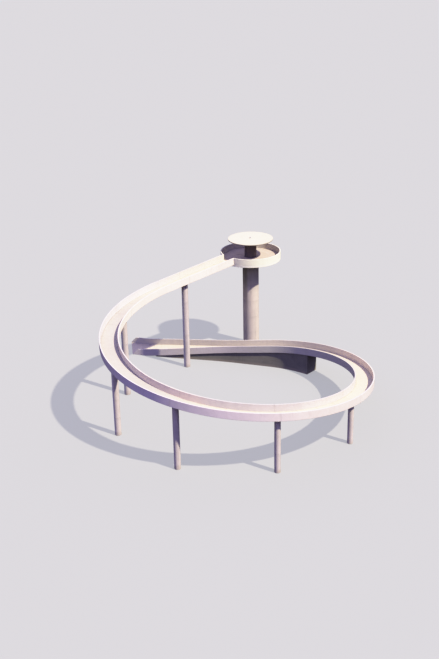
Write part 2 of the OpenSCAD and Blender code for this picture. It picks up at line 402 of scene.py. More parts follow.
            # soil splashed up from the ground
            ground = m.math("ADD", m.split(here)[2], m.math("MULTIPLY", m.math("SUBTRACT", middle, 0.5), 0.3))
            col = m.mix(m.math("MULTIPLY", m.span(ground, 0.02, 0.26, 1, 0), 0.5), col, (0.34, 0.29, 0.23))
    elif mode == "floor":
        side = m.attr("side").outputs["Fac"]
        # dirt that gathers along the parapets, and a worn middle
        ragged = m.math("ADD", side, m.math("MULTIPLY", m.math("SUBTRACT", middle, 0.5), 0.16))
        gutter = m.span(ragged, 0.0, 0.13, 1, 0)
        col = m.mix(m.math("MULTIPLY", gutter, 0.42), col, stain)
        worn = m.math("MULTIPLY", m.span(side, 0.18, 0.40), m.span(small, 0.35, 0.65))
        col = m.mix(m.math("MULTIPLY", worn, 0.10), col, light)
        # runs of water across and down the slope
        runs = m.noise(m.vec(m.math("MULTIPLY", s, 0.9), m.math("MULTIPLY", across, 9.0), 0.0), 1.0, 4.0, 0.6)
        col = m.mix(m.math("MULTIPLY", m.span(runs, 0.55, 0.75), 0.22), col, stain)
        spots = m.math("MULTIPLY", m.span(m.cells(here, 5.0), 0.03, 0.10, 1, 0), m.span(m.noise(here, 1.6, 1.0), 0.5, 0.65))
        col = m.mix(m.math("MULTIPLY", spots, 0.25), col, stain)
        # score joints hold dirt
        quarters = m.math("MULTIPLY", m.attr("beat").outputs["Fac"], 4.0)
        t = m.math("ABSOLUTE", m.math("SUBTRACT", m.math("FRACT", m.math("ADD", quarters, 0.5)), 0.5))
        line = m.math("MULTIPLY", m.span(t, 0.003, 0.022, 1, 0), m.span(small, 0.30, 0.60))
        col = m.mix(m.math("MULTIPLY", line, 0.20), col, stain)
        broom = m.noise(m.vec(m.math("MULTIPLY", s, 150.0), m.math("MULTIPLY", across, 5.0), 0.0), 1.0, 3.0)
        fine = m.math("ADD", fine, m.math("MULTIPLY", broom, 0.55))
        # the floor of bays 1.2 to 4.6 darker and bluer
        darker_bluer_bays = m.math("MULTIPLY", m.span(m.attr("beat").outputs["Fac"], 1.2, 2.0), m.span(m.attr("beat").outputs["Fac"], 3.6, 4.6, 1, 0))
        col = m.mix(darker_bluer_bays, col, m.mix(1.0, col, (0.75, 0.78, 0.90), "MULTIPLY"))
        # the rim of the round slab was cast with its parapet
        col = m.mix(m.span(across, PLAT_R - 0.09, PLAT_R - 0.07), col, m.mix(m.span(tone, 0.36, 0.64), (0.77, 0.745, 0.62), (0.83, 0.81, 0.67)))
        rough = 0.86
    elif mode == "column":
        # each pour has its own tone, darker where the next one starts
        pour = m.math("FLOOR", m.math("DIVIDE", h, LIFT))
        own = m.white(m.math("ADD", pour, m.math("MULTIPLY", across, 7.31)))
        col = m.mix(m.math("MULTIPLY", own, 0.22), col, m.mix(1.0, col, (0.80, 0.80, 0.83), "MULTIPLY"))
        t = m.math("MULTIPLY", m.math("FRACT", m.math("DIVIDE", h, LIFT)), LIFT)
        bleed = m.math("MULTIPLY", m.span(t, LIFT - 0.32, LIFT - 0.01), m.span(middle, 0.35, 0.65))
        lip = m.span(t, 0.0, 0.03, 1, 0)
        col = m.mix(m.math("MULTIPLY", bleed, 0.26), col, stain)
        col = m.mix(m.math("MULTIPLY", lip, 0.30), col, stain)
        # long streaks
        lanes = m.noise(m.vec(m.math("MULTIPLY", s, 7.5), m.math("MULTIPLY", across, 5.0), m.math("MULTIPLY", h, 0.35)), 1.0, 4.0, 0.62)
        col = m.mix(m.math("MULTIPLY", m.span(lanes, 0.50, 0.72), 0.50), col, stain)
        # splash and soil near the ground
        low = m.math("ADD", h, m.math("MULTIPLY", m.math("SUBTRACT", middle, 0.5), 0.5))
        soil = m.span(low, 0.02, 0.42, 1, 0)
        col = m.mix(m.math("MULTIPLY", soil, 0.45), col, (0.34, 0.29, 0.23))
        # painted shade: height with a little noise, used to darken the main column close under the platform and, on its
        # side away from the sun, towards its top
        painted_shade_height = m.math("ADD", h, m.math("MULTIPLY", m.math("SUBTRACT", big, 0.5), 0.8))
        col = m.mix(m.span(across, 1.5, 1.7), col, m.mix(1.0, col, (1.02, 1.02, 0.93), "MULTIPLY"))
        # painted light on the side away from the sun: above 0 painted paler (painted bounce light), below 0 painted
        # darker and less blue (painted shade)
        painted_lee_tone = m.attr("side").outputs["Fac"]
        painted_lee_shade = m.span(painted_lee_tone, -1.0, 0.0, 1, 0, False)
        col = m.mix(m.span(painted_lee_tone, 0.0, 1.0, smooth=False), col, m.mix(1.0, col, (1.38, 1.50, 1.42), "MULTIPLY"))
        col = m.mix(painted_lee_shade, col, m.mix(1.0, col, (1.02, 1.04, 0.87), "MULTIPLY"))
        # painted shade: that side of the main column darker towards its top
        col = m.mix(m.math("MULTIPLY", painted_lee_shade, m.span(painted_shade_height, 2.6, 3.5)), col, m.mix(1.0, col, (0.88, 0.87, 0.87), "MULTIPLY"))
        col = m.mix(m.math("MULTIPLY", painted_lee_shade, m.span(painted_shade_height, 3.3, 4.4)), col, m.mix(1.0, col, (0.86, 0.86, 0.84), "MULTIPLY"))
        # painted shade: the main column darker close under the platform
        col = m.mix(m.math("MULTIPLY", m.span(painted_shade_height, 4.2, 5.4), m.span(across, 1.5, 1.7)), col, m.mix(1.0, col, (0.62, 0.66, 0.66), "MULTIPLY"))
        boards = m.noise(m.vec(m.math("MULTIPLY", s, 24.0), across, m.math("MULTIPLY", h, 0.6)), 1.0, 2.0)
        height = m.math("ADD", height, m.math("MULTIPLY", boards, 0.5))
        rough = 0.84
    elif mode == "disc":
        # water marks that run out from the middle
        ring = m.noise(m.vec(m.math("MULTIPLY", s, 5.0), m.math("MULTIPLY", across, 0.8), 0.0), 1.0, 4.0, 0.6)
        outer = m.span(across, 0.5, CANOPY_R)
        col = m.mix(m.math("MULTIPLY", m.math("MULTIPLY", m.span(ring, 0.50, 0.74), outer), 0.30), col, stain)
        # painted shade: the lower part of the canopy's edge and its underside darker
        under = m.span(h, CANOPY_TOP - 0.022, CANOPY_TOP - 0.034)
        col = m.mix(under, col, m.mix(1.0, col, (0.46, 0.43, 0.46), "MULTIPLY"))
        rim = m.math("MULTIPLY", m.span(across, CANOPY_R - 0.10, CANOPY_R - 0.01), m.span(small, 0.35, 0.62))
        col = m.mix(m.math("MULTIPLY", rim, 0.28), col, stain)
        puddle = m.span(m.noise(here, 1.3, 3.0, 0.6, 0.8), 0.54, 0.60)
        col = m.mix(m.math("MULTIPLY", puddle, 0.10), col, stain)
        rough = 0.74
    # arrises rubbed down to paler, coarser stone
    chip = m.math("MULTIPLY", wear, m.span(m.noise(here, 42.0, 3.0), 0.44, 0.60))
    col = m.mix(m.math("MULTIPLY", chip, 0.35), col, m.mix(1.0, col, (0.74, 0.72, 0.70), "MULTIPLY"))
    col = m.mix(m.math("MULTIPLY", pit, 0.45), col, (0.24, 0.23, 0.24))
    fine = m.math("SUBTRACT", fine, m.math("MULTIPLY", chip, 0.7))
    normal = m.bump(height, 0.55, 0.006)
    normal = m.bump(fine, 0.5, 0.0022, normal)
    r = m.math("ADD", rough - 0.07, m.math("MULTIPLY", small, 0.14))
    return m.finish(col, r, normal, specular=0.30)


def metal_paint():
    m = Nodes("vent_paint")
    here = m.new("ShaderNodeTexCoord").outputs["Object"]
    wear = m.attr("wear").outputs["Fac"]
    dull = m.noise(here, 30.0, 4.0, 0.6)
    col = m.mix(m.span(dull, 0.35, 0.65), (0.33, 0.33, 0.35), (0.43, 0.43, 0.45))
    rust = m.math("MULTIPLY", m.span(m.noise(here, 75.0, 4.0), 0.56, 0.64), m.math("ADD", 0.25, m.math("MULTIPLY", wear, 0.6)))
    col = m.mix(rust, col, (0.23, 0.11, 0.055))
    normal = m.bump(m.noise(here, 260.0, 2.0), 0.25, 0.001)
    return m.finish(col, m.math("ADD", 0.42, m.math("MULTIPLY", dull, 0.25)), normal, metallic=0.0, specular=0.5)


def joint_fill():
    m = Nodes("joint_mastic")
    here = m.new("ShaderNodeTexCoord").outputs["Object"]
    n = m.noise(here, 60.0, 4.0, 0.6)
    col = m.mix(m.span(n, 0.35, 0.65), (0.34, 0.32, 0.31), (0.46, 0.43, 0.42))
    return m.finish(col, m.math("ADD", 0.60, m.math("MULTIPLY", n, 0.25)), m.bump(n, 0.5, 0.002), specular=0.35)


STAIN = (0.30, 0.28, 0.29)
# tints for the parapet faces: painted light on the sunlit face, grime with painted shade, a warmer tone, and painted
# shade on the deck side
SUNLIT_PAINTED_PALE, SHADE_AND_GRIME_GREY, WARMER_TINT, DECK_SIDE_PAINTED_SHADE = (1.28, 1.24, 1.14), (0.82, 0.86, 0.80), (1.13, 1.07, 0.87), (0.95, 0.93, 0.89)
wall_mat = concrete("parapet_cast_concrete", (0.655, 0.598, 0.583), (0.590, 0.538, 0.525), STAIN, "wall")
ring_mat = concrete("platform_cast_concrete", (0.84, 0.82, 0.635), (0.78, 0.755, 0.59), STAIN, "ring")
floor_mat = concrete("floor_broom_concrete", (0.61, 0.53, 0.405), (0.56, 0.487, 0.373), (0.33, 0.30, 0.27), "floor")
# darker than the ramp floor: partly painted shade for the shade under the canopy
platform_floor_painted_shade_mat = concrete("platform_floor_concrete_with_painted_shade", (0.53, 0.44, 0.362), (0.482, 0.402, 0.33), (0.29, 0.25, 0.22), "floor")
# very dark: partly a dark stained concrete and partly painted shade for the deep shade under the ramp
base_mat = concrete("foot_cast_concrete", (0.20, 0.193, 0.157), (0.15, 0.145, 0.12), (0.10, 0.096, 0.085), "base")
column_mat = concrete("column_cast_concrete", (0.60, 0.532, 0.508), (0.53, 0.470, 0.452), (0.27, 0.25, 0.26), "column")
# painted shade: a dark copy of the column concrete for the column under the canopy
painted_shade_column_mat = concrete("painted_shade_column_concrete", (0.15, 0.105, 0.125), (0.12, 0.085, 0.10), (0.08, 0.06, 0.07), "column")
disc_mat = concrete("canopy_cast_concrete", (0.605, 0.562, 0.425), (0.565, 0.522, 0.392), (0.40, 0.36, 0.32), "disc")
vent_mat = metal_paint()
fill_mat = joint_fill()


# ---------------------------------------------------------------- ramp parapets
GAP = 0.004            # half of the open joint between two bays
SEAMS = 4              # form panels in a bay


def wall_profile(bottom, top, drip=True):
    """Clockwise outline of a parapet: u from its outward face, h above the floor. Also how exposed each point is."""
    r, q = 0.010, 0.008
    pts, exposed = [], []

    def add(points, e):
        for p in points:
            pts.append(p)
            exposed.append(e)
    add(quarter(q, bottom + q, q, 270, 180), 1.0)
    add([(0, bottom + q + 0.014)], 0.0)
    for f in np.linspace(0.14, 0.86, 5):
        add([(0, bottom + (top - bottom) * f)], 0.0)
    add([(0, top - r - 0.014)], 0.0)
    add(quarter(r, top - r, r, 180, 90), 1.0)
    add([(r + 0.014, top + 0.0008), (WALL - r - 0.014, top + 0.0008)], 0.0)
    add(quarter(WALL - r, top - r, r, 90, 0), 1.0)
    add([(WALL, top - r - 0.014)], 0.0)
    for f in np.linspace(0.84, 0.22, 4):
        add([(WALL, bottom + (top - bottom) * f)], 0.0)
    add([(WALL, bottom)], 0.0)
    if drip:
        add([(0.046, bottom), (0.043, bottom + 0.008), (0.031, bottom + 0.008), (0.028, bottom)], 0.2)
    return np.array(pts), np.array(exposed)


def stations(a, b, first=0.1):
    """Distances between two bay ends, denser at the ends and at the form seams."""
    n = max(2, int(round((b - a) / 0.10)))
    base = list(np.linspace(a, b, n + 1)[1:-1])
    seams = [a + (b - a) * k / SEAMS for k in range(1, SEAMS)] if b - a > 4 else []
    keep = [x for x in base if all(abs(x - y) > 0.03 for y in seams) and x - a > 0.05 and b - x > 0.05]
    for y in seams:
        keep += [y - 0.010, y - 0.004, y - 0.001, y + 0.001, y + 0.004, y + 0.010]
    keep += [a + GAP + 0.012, b - GAP - 0.012]
    return np.array(sorted(keep)), seams


def wall_piece(name, node, k, outer):
    a, b = (PLAT_R if k == 0 else SUPPORTS[k]), SUPPORTS[k + 1]
    prof, exposed = wall_profile(-SLAB, WALL_H)
    inner, seams = stations(a, b)
    rings = []                                   # (station, inset)
    if k == 0:
        rings += [(None, 0.0)]
        inner = inner[inner > PLAT_R + 0.05]
    else:
        rings += [(a + GAP, 0.005), (a + GAP + 0.0015, 0.002), (a + GAP + 0.005, 0.0)]
    rings += [(x, 0.0) for x in inner]
    rings += [(b - GAP - 0.005, 0.0), (b - GAP - 0.0015, 0.002), (b - GAP, 0.005)]
    P, path, wear = [], [], []
    for s, by in rings:
        q = inset(prof, by) if by else prof
        u, h = q[:, 0].copy(), q[:, 1].copy()
        st = s if s is not None else PLAT_R
        if not by and s is not None:
            face = (exposed == 0) & (h > -SLAB + 0.01) & (h < WALL_H - 0.005)
            w = wave(st * 1.3, h * 1.1, 1 + outer) * 0.0011
            lean = 0.0004 * math.sin(17.3 * math.floor(float(beat(st)) * SEAMS) + 2 * outer)
            fin = 0.0012 if any(abs(st - y) < 0.002 for y in seams) else 0.0
            out = (w + lean * (h - 0.2) / 0.25 + fin)
            u = np.where(face & (prof[:, 0] < 0.01), u - out, u)
            u = np.where(face & (prof[:, 0] > 0.06), u + out * 0.8, u)
            h = np.where(prof[:, 1] > WALL_H - 0.02, h + 0.0012 * math.sin(st * 2.3 + outer), h)
        off = (-WIDTH / 2 + u) if outer else (WIDTH / 2 - u)
        if s is None:
            sv = np.sqrt(PLAT_R ** 2 - off ** 2) + 0.0005
        else:
            sv = np.full(len(u), st)
        P.append(place(sv, off, floor_z(sv) + h))
        path.append(np.stack([sv, off, h], -1))
        wear.append(np.maximum(exposed, 0.8 if by else 0.0))
    away = np.tile((prof[:, 0] < WALL / 2) * 1.0, (len(P), 1))
    return grid(name, np.array(P), np.array(path), np.array(wear), wall_mat, [node], side=away)


for k in range(9):
    wall_piece(f"outer_parapet_{k}_cast", f"outer_parapet_{k}", k, True)
    wall_piece(f"inner_parapet_{k}_cast", f"inner_parapet_{k}", k, False)


# ---------------------------------------------------------------- ramp floors
def floor_rings(a, b, k, start_open):
    """Stations of a floor, with its score joints: (station, depth of the top, inset)."""
    bay = BAY if k > 8 else SUPPORTS[k + 1] - SUPPORTS[k]
    scores = [x for x in SUPPORTS[k] + np.arange(1, 8) * bay / 4 if a + 0.2 < x < b - 0.2]
    n = max(2, int(round((b - a) / 0.10)))
    base = [x for x in np.linspace(a, b, n + 1)[1:-1]
            if all(abs(x - y) > 0.03 for y in scores) and x - a > 0.06 and b - x > 0.05]
    rings = [(x, 0.0, 0.0) for x in base]
    for y in scores:
        rings += [(y - 0.014, 0.0, 0.0), (y - 0.0075, 0.0, 0.0), (y - 0.0035, 0.006, 0.0),
                  (y + 0.0035, 0.006, 0.0), (y + 0.0075, 0.0, 0.0), (y + 0.014, 0.0, 0.0)]
    rings.append((a + GAP + 0.012, 0.0, 0.0))
    if not start_open:
        rings.append((b - GAP - 0.012, 0.0, 0.0))
    rings.sort()
    if not start_open:
        rings = [(a + GAP, 0.005, 0.004), (a + GAP + 0.0015, 0.0015, 0.001), (a + GAP + 0.005, 0.0, 0.0)] + rings
    return rings


def floor_piece(name, node, k):
    a, b = (PLAT_R if k == 0 else SUPPORTS[k]), SUPPORTS[k + 1]
    half = WIDTH / 2 - WALL - 0.0008
    rings = floor_rings(a, b, k, k == 0)
    if k == 0:
        rings = [(None, 0.0, 0.0)] + rings
    rings += [(b - GAP - 0.005, 0.0, 0.0), (b - GAP - 0.0015, 0.0015, 0.001), (b - GAP, 0.005, 0.004)]
    top_x = np.concatenate([[-half, -half + 0.007, -half + 0.03], np.linspace(-half + 0.1, half - 0.1, 9), [half - 0.03, half - 0.007, half]])
    P, path, wear, side = [], [], [], []
    for s, drop, by in rings:
        st = PLAT_R if s is None else s
        crown = -0.004 * (top_x / half) ** 2
        h = crown - drop
        h[0] = h[-1] = -0.008
        if not drop:
            h[2:-2] += 0.0009 * wave(np.full(len(h) - 4, st * 1.7), top_x[2:-2] * 1.5, 5)
        low_x = np.array([half - 0.001, half - 0.003, 0.27, 0.0, -0.27, -half + 0.003, -half + 0.001])
        low_h = np.full(7, -SLAB) + by
        low_h[[0, -1]] += 0.003
        x = np.concatenate([top_x, low_x])
        hh = np.concatenate([h, low_h])
        if s is None:
            sv = np.sqrt(np.maximum(PLAT_R ** 2 - x ** 2, 0)) + 0.0005
        else:
            sv = np.full(len(x), st)
        P.append(place(sv, x, floor_z(sv) + hh))
        path.append(np.stack([sv, x, hh], -1))
        wear.append(np.full(len(x), 0.6 if (drop or by) else 0.0))
        side.append(np.concatenate([half - np.abs(top_x), np.full(7, 0.3)]))
    return grid(name, np.array(P), np.array(path), np.array(wear), floor_mat, [node], side=np.array(side))


for k in range(9):
    floor_piece(f"ramp_floor_{k}_cast", f"ramp_floor_{k}", k)


# ---------------------------------------------------------------- foot of the ramp
def foot_grid(name, node, rings, outline, material, with_side=False):
    """A piece of the solid foot. outline(s, drop, by) gives off, z as a function of the true station, path height, wear, side."""
    P, path, wear, side = [], [], [], []
    for s, drop, by in rings:
        off, z_of, h, w, sd = outline(s, drop, by)
        sv = slanted(s, off)
        P.append(place(sv, off, np.maximum(z_of(sv), 0.0)))
        path.append(np.stack([np.full(len(off), s), off, h], -1))
        wear.append(w)
        side.append(sd)
    return grid(name, np.array(P), np.array(path), np.array(wear), material, [node],
                side=np.array(side) if with_side else None)


def approach_floor():
    """The paving of the foot, a slab between its walls."""
    a, b = S_FLARE, S_END
    rings = floor_rings(a, b, 9, False)
    rings += [(b - 0.006, 0.0, 0.0), (b - 0.0015, 0.002, 0.0), (b, 0.006, 0.0)]

    def outline(s, drop, by):
        lo = float(side_out(s)) + WALL + 0.0008
        wide = float(side_in(s)) - WALL - 0.0008 - lo
        t = np.concatenate([[0, 0.007, 0.03], np.linspace(0.1, wide - 0.1, 11), [wide - 0.03, wide - 0.007, wide]])
        down = 0.003 * (2 * t / wide - 1) ** 2 + drop
        down[0] = down[-1] = 0.006
        low = np.array([wide - 0.002, wide * 0.7, wide * 0.5, wide * 0.3, 0.002])
        down = np.concatenate([down, np.full(5, SLAB)])
        h = -down

        def z_of(sv):
            z = floor_z(sv)
            return z - np.minimum(down, np.where(down > 0.03, z, z * 0.6))
        return (lo + np.concatenate([t, low]), z_of, h, np.full(len(h), 0.6 if (drop or by) else 0.0),
                np.concatenate([np.minimum(t, wide - t), np.full(5, 0.3)]))
    return foot_grid("approach_floor_cast", "approach_floor", rings, outline, floor_mat, True)


def solid_base(name, node, a, b, seams, seed):
    """A solid mass under the ramp, down to the ground and set back under the walls."""
    n = int(round((b - a) / 0.12))
    base = [x for x in np.linspace(a, b, n + 1)[1:-1] if all(abs(x - y) > 0.03 for y in seams) and x - a > 0.03]
    for y in seams:
        base += [y - 0.010, y - 0.004, y - 0.001, y + 0.001, y + 0.004, y + 0.010]
    rings = [(a + 0.0005, 0, 0.012), (a + 0.004, 0, 0.005), (a + 0.012, 0, 0), (a + 0.02, 0, 0)] + [(x, 0, 0) for x in sorted(base)] + [(b, 0, 0)]
    steps = np.array([0.0, 0.03, 0.22, 0.42, 0.62, 0.82, 1.0])

    def outline(s, drop, by):
        lo, hi = float(side_out(s)) + WALL - 0.002, float(side_in(s)) - WALL + 0.002
        fin = 0.0012 if any(abs(s - y) < 0.002 for y in seams) else 0.0
        bulge = np.where((steps > 0.01) & (steps < 0.99), 0.0013 * wave(np.full(7, s * 1.3), steps, seed) + fin - 0.001 - by, -0.001 - by)
        up = np.concatenate([steps, [1.0, 1.0], steps[::-1], [0.0, 0.0]])
        wide = hi - lo
        off = np.concatenate([lo - bulge, [lo + wide * 0.33, lo + wide * 0.67], (hi + bulge)[::-1], [lo + wide * 0.67, lo + wide * 0.33]])

        def z_of(sv):
            return up * np.maximum(floor_z(sv) - SLAB + 0.002, 0.01)
        h = up * (float(floor_z(s)) - SLAB) - 0.02
        return off, z_of, h, np.full(len(off), 0.7 if by else 0.0), np.full(len(off), 0.3)
    return foot_grid(name, node, rings, outline, base_mat)


def approach_wall(name, node, far):
    a, b = S_FLARE, S_END + RUN_ON
    n = int(round((b - a) / 0.10))
    seams = [S_FLARE + BAY / SEAMS * k for k in range(1, 6) if S_FLARE + BAY / SEAMS * k < S_END - 0.1]
    turn = b - (SILL + WALL_H - 0.040)     # where the sloping end starts
    base = [x for x in np.linspace(a, b, n + 1)[1:-1]
            if all(abs(x - y) > 0.03 for y in seams + [turn]) and x - a > 0.05 and b - x > 0.02]
    for y in seams:
        base += [y - 0.010, y - 0.004, y - 0.001, y + 0.001, y + 0.004, y + 0.010]
    base += [a + GAP + 0.012, turn - 0.008, turn, turn + 0.008]
    rings = [(a + GAP, 0, 0.005), (a + GAP + 0.0015, 0, 0.002), (a + GAP + 0.005, 0, 0.0)] + [(x, 0, 0.0) for x in sorted(base)]
    rings += [(b - 0.005, 0, 0.0), (b - 0.0015, 0, 0.002), (b, 0, 0.005)]
    shape, exposed = wall_profile(-SLAB, WALL_H)
    whole = WALL_H + SLAB
    tip = float(slanted(b, float(side_out(b)) if far else float(side_in(b))))

    def outline(s, drop, by):
        q = inset(shape, by) if by else shape
        u, h = q[:, 0].copy(), q[:, 1].copy()
        face = (exposed == 0) & (h > -SLAB + 0.01) & (h < WALL_H - 0.005)
        if not by and s < turn:
            w = wave(s * 1.3, h * 1.1, 7 + far) * 0.0011 + (0.0012 if any(abs(s - y) < 0.002 for y in seams) else 0)
            u = np.where(face & (shape[:, 0] < 0.01), u - w, np.where(face & (shape[:, 0] > 0.06), u + w * 0.8, u))
        if s > S_TOE:
            u = np.clip(u, 0.0, WALL)

        def z_of(sv):
            low = np.maximum(floor_z(sv) - SLAB, 0.0)
            high = np.minimum(floor_z(sv) + WALL_H, 0.040 + np.maximum(tip - sv, 0.0))
            if abs(s - turn) < 0.001:
                high = high - 0.0015
            return low + (h + SLAB) / whole * np.maximum(high - low, 0.03)
        off = float(side_out(s)) + u if far else float(side_in(s)) - u
        return off, z_of, h, np.maximum(exposed, 0.8 if by else 0.0), (shape[:, 0] < WALL / 2) * 1.0
    return foot_grid(name, node, rings, outline, wall_mat, True)


foot_seams = [S_FLARE + BAY / SEAMS * k for k in range(1, 6)]
foot_stop = S_TOE - (SLAB + 0.03) / GRADE
solid_base("approach_base_cast", "approach_floor", S_FLARE, foot_stop, [y for y in foot_seams if y < foot_stop - 0.1], 31)
solid_base("abutment_cast", "abutment", SUPPORTS[8] - LIP, S_FLARE, [SUPPORTS[8] + FOOT_BAY / SEAMS * k for k in range(1, 4)], 37)
approach_floor()
approach_wall("approach_wall_far_cast", "approach_wall_far", True)
approach_wall("approach_wall_near_cast", "approach_wall_near", False)


# ---------------------------------------------------------------- columns
def column(name, node, cx, cy, radius, top, seed, turn=0.0, foot=0.0, lifts=True, material=None, painted_lee_tone=0.0):
    """A round cast column in pours. top(x, y) is the height of its head at a point.
    painted_lee_tone sets painted light on the side away from the sun: above 0 painted paler, below 0 painted darker and
    less blue (painted shade)."""
    count = 96 if radius < 0.35 else 144
    base = np.arange(count) * 2 * math.pi / count
    fins = np.array([turn, turn + math.pi])
    ang = [a for a in base if all(abs((a - f + math.pi) % (2 * math.pi) - math.pi) > 0.012 / radius for f in fins)]
    for f in fins:
        ang += [f - 0.005 / radius, f - 0.0012 / radius, f + 0.0012 / radius, f + 0.005 / radius]
    ang = np.array(sorted(a % (2 * math.pi) for a in ang))
    d = np.min([np.abs((ang - f + math.pi) % (2 * math.pi) - math.pi) for f in fins], 0)
    fin = np.where(d < 0.002 / radius, 0.0020, 0.0)
    x1, y1 = np.cos(ang), np.sin(ang)
    shade = np.clip(np.cos(ang - math.radians(166)) / 0.25, 0, 1)
    shade = painted_lee_tone * shade * shade * (3 - 2 * shade)
    head = top(cx + radius * x1, cy + radius * y1)
    high = float(head.min())
    rings = [(foot, 0.006, 0), (foot + 0.006, 0.0, 0)]
    k = 1
    while lifts and k * LIFT < high - 0.15:
        z = k * LIFT
        rings += [(z - 0.010, 0.0, k - 1), (z - 0.0055, 0.0, k - 1), (z - 0.0015, 0.0055, k - 1),
                  (z + 0.0015, 0.0055, k), (z + 0.0055, 0.0, k), (z + 0.010, 0.0, k)]
        k += 1
    z = foot + 0.006
    extra = [t for t in np.arange(foot + 0.15, high - 0.08, 0.15) if all(abs(t - r[0]) > 0.03 for r in rings)]
    rings += [(t, 0.0, int(t / LIFT) if lifts else 0) for t in extra]
    rings.sort()
    P, path, wear = [], [], []
    for z, cut, pour in rings + [(None, 0.0, k - 1), (None, -1.0, k - 1)]:
        step = 0.0012 * math.sin(pour * 2.39 + seed)
        zz = np.full(len(ang), z) if z is not None else (head - 0.05 if cut == 0.0 else head + 0.0)
        c = max(cut, 0.0)
        r = radius - c - 0.0015 + step * (c == 0) * (z is not None and z > foot + 0.01)
        r = r + (fin if c == 0 and z is not None and z > foot + 0.01 else 0) + 0.0008 * wave(ang * radius * 2, zz * 0.8, seed)
        P.append(np.stack([cx + r * x1, cy + r * y1, zz], -1))
        path.append(np.stack([ang * radius + seed * 3.1, np.full(len(ang), radius + seed * 0.13), zz], -1))
        wear.append(np.full(len(ang), 0.7 if 0 < c else 0.0))
    return grid(name, np.array(P), np.array(path), np.array(wear), material or column_mat, [node], rows=1,
                side=np.tile(shade, (len(P), 1)))


def soffit_at(s0):
    """Height of the underside of the ramp near a support."""
    m0 = mid(s0)
    h0 = float(heading(s0))

    def top(x, y):
        along = (x - m0[0]) * math.cos(h0) + (y - m0[1]) * math.sin(h0)
        return floor_z(s0 + along) - SLAB + 0.0005
    return top


# painted_lee_tone: painted bounce light on the side away from the sun for columns 1 and 2, less for column 3; painted
# shade there on the main column below
for k in range(1, 8):
    s = SUPPORTS[k]
    z = float(floor_z(s))
    m0 = mid(s)
    column(f"ramp_column_{k}_cast", f"ramp_column_{k}", m0[0], m0[1],
           (COL_BASE + COL_GROWTH * z) / 2, soffit_at(s), k, turn=float(heading(s)) % math.pi,
           painted_lee_tone=(1.0, 1.0, 0.5, 0.0, 0.0, 0.0, 0.0)[k - 1])
column("main_column_cast", "main_column", 0, 0, COL_D / 2,
       lambda x, y: np.full(len(x), DECK - PLAT_T + 0.0005), 11, turn=0.4, painted_lee_tone=-1.0)
column("canopy_column_cast", "canopy_column", 0, 0, CANOPY_COL_D / 2,
       lambda x, y: np.full(len(x), CANOPY_TOP - CANOPY_T + 0.0005), 13, turn=1.1, foot=DECK - 0.010, lifts=False, material=painted_shade_column_mat)


# ---------------------------------------------------------------- round slabs
def turned(name, node, prof, exposed, material, scores=(), depth=None, count=180, side=None):
    """A closed skin round the tower's axis. prof is (radius, height); radial score joints are cut where depth says."""
    prof = np.asarray(prof, float)
    base = list(np.arange(count) * 2 * math.pi / count)
    base = [a for a in base if all(abs((a - f + math.pi) % (2 * math.pi) - math.pi) > 0.016 for f in scores)]
    cols = [(a, 0.0, 0.0) for a in base]
    for f in scores:
        cols += [(f, -0.014, 0.0), (f, -0.0075, 0.0), (f, -0.0035, 1.0), (f, 0.0035, 1.0), (f, 0.0075, 0.0), (f, 0.014, 0.0)]
    cols.sort(key=lambda c: (c[0] % (2 * math.pi), c[1]))
    P, path, wear, sides = [], [], [], []
    for a, w, d in cols:
        ang = a + w / np.maximum(prof[:, 0], 0.30)
        z = prof[:, 1] - (d * depth if depth is not None else 0)
        P.append(np.stack([prof[:, 0] * np.cos(ang), prof[:, 0] * np.sin(ang), z], -1))
        path.append(np.stack([ang * 1.6, prof[:, 0], z], -1))
        wear.append(np.maximum(exposed, d * 0.5 * (depth > 0 if depth is not None else 0)))
        if side is not None:
            sides.append(side)
    return grid(name, np.array(P), np.array(path), np.array(wear), material, [node], rows=1,
                around=True, side=np.array(sides) if side is not None else None)


# platform floor: outline anticlockwise from the middle of the top
z1, z0 = DECK, DECK - PLAT_T
inner_face = PLAT_R - WALL
top_r = [0.40, 0.424, 0.60, 0.80, 1.00, 1.19, 1.1965, 1.2035, 1.21, 1.40, 1.60, 1.80, 1.95, inner_face - 0.02, inner_face - 0.002]
top_z = [0, 0, 0, 0, 0, 0, -0.005, -0.005, 0, -0.001, -0.002, -0.003, -0.004, -0.005, -0.006]
prof = [(r, z1 + z) for r, z in zip(top_r, top_z)]
depth = [0, 0.0] + [0.005] * 11 + [0.004, 0.0]
expo = [0.0] * len(prof)
prof += [(PLAT_R - 0.010, z1 - 0.003), (PLAT_R - 0.004, z1 - 0.003)]
expo += [0, 0.4]
prof += [(PLAT_R, z1 - 0.007), (PLAT_R, z1 - 0.05), (PLAT_R, z1 - 0.10), (PLAT_R, z0 + 0.024)]
expo += [0.4, 0, 0, 0]
prof += quarter(PLAT_R - 0.010, z0 + 0.010, 0.010, 0, -90)
expo += [1.0] * 5
prof += [(PLAT_R - 0.024, z0), (PLAT_R - 0.045, z0), (PLAT_R - 0.049, z0 + 0.012), (PLAT_R - 0.065, z0 + 0.012), (PLAT_R - 0.069, z0),
         (1.80, z0), (1.50, z0), (1.20, z0), (0.90, z0), (0.60, z0), (0.40, z0)]
expo += [0, 0.3, 0.3, 0.3, 0.3] + [0] * 6
depth = np.array(depth + [0.0] * (len(prof) - len(depth)))
rr = np.array([p[0] for p in prof])
side = np.where(np.array([p[1] for p in prof]) > z1 - 0.02, np.minimum(np.abs(inner_face - rr), np.abs(rr - 0.425)), 0.3)
turned("platform_floor_cast", "platform_floor", prof, np.array(expo), platform_floor_painted_shade_mat,
       scores=[A0 - math.pi + math.radians(22.5 + 45 * k) for k in range(8)], depth=depth, side=side)

